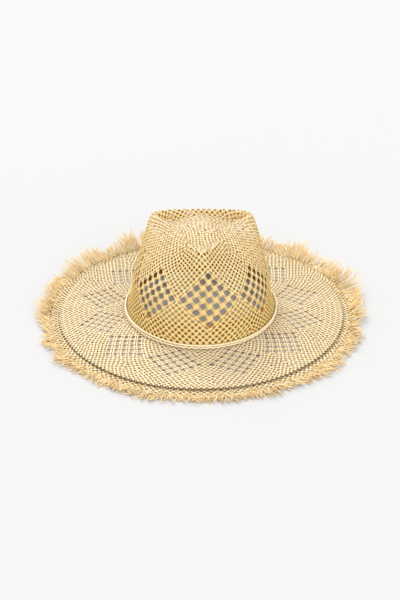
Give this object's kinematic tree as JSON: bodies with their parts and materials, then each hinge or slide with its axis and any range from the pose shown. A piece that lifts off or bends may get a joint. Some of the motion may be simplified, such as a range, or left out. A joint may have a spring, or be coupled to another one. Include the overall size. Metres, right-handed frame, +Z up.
{
  "type": "straw sun hat",
  "caption": "Wide-brimmed sun hat of open-woven straw with a pinched teardrop crown, frayed brim edge, lift-off hat cord and inner sweatband.",
  "frame": {"origin": "middle of the hat's outline on the surface it stands on, under the crown", "axes": "+Z up through the crown, -Y towards the front of the hat (the pinched tip), X from ear to ear, with +X on the wearer's left"},
  "size_m": [0.393, 0.428, 0.1078],
  "materials": {
    "straw_weave": "open weave of flat twisted paper straw, natural golden cream, matte with a faint sheen along each strand",
    "straw_hem": "the same weave folded double, paler and closed, matte",
    "straw_fringe": "frayed loose straw ends, golden, matte",
    "straw_thread": "straw-coloured sewing thread, matte",
    "paper_cord": "two-ply twisted paper cord, pale straw, matte",
    "binding_thread": "fine thread wound side by side, matte",
    "sweatband_ribbon": "ribbed grosgrain ribbon, light straw beige, matte",
    "band_thread": "pale sewing thread, matte",
    "label_cloth": "blank woven satin label, off white"
  },
  "bodies": {
    "hat": {"crown": "straw_weave", "brim": "straw_weave", "brim_hem": "straw_hem", "fringe_heading": "straw_fringe", "frayed_fringe": "straw_fringe", "hem_stitching": "straw_thread", "sweatband": "sweatband_ribbon", "sweatband_tab": "sweatband_ribbon", "sweatband_stitching": "band_thread", "size_label": "label_cloth"},
    "hat_cord": {"hat_cord_lower": "paper_cord", "hat_cord_upper": "paper_cord", "cord_binding": "binding_thread"}
  },
  "joints": [
    {"name": "hat_cord_slide", "type": "slide", "parent": "hat", "child": "hat_cord", "axis": [0, 0, 1], "range_m": [0, 0.125]}
  ]
}
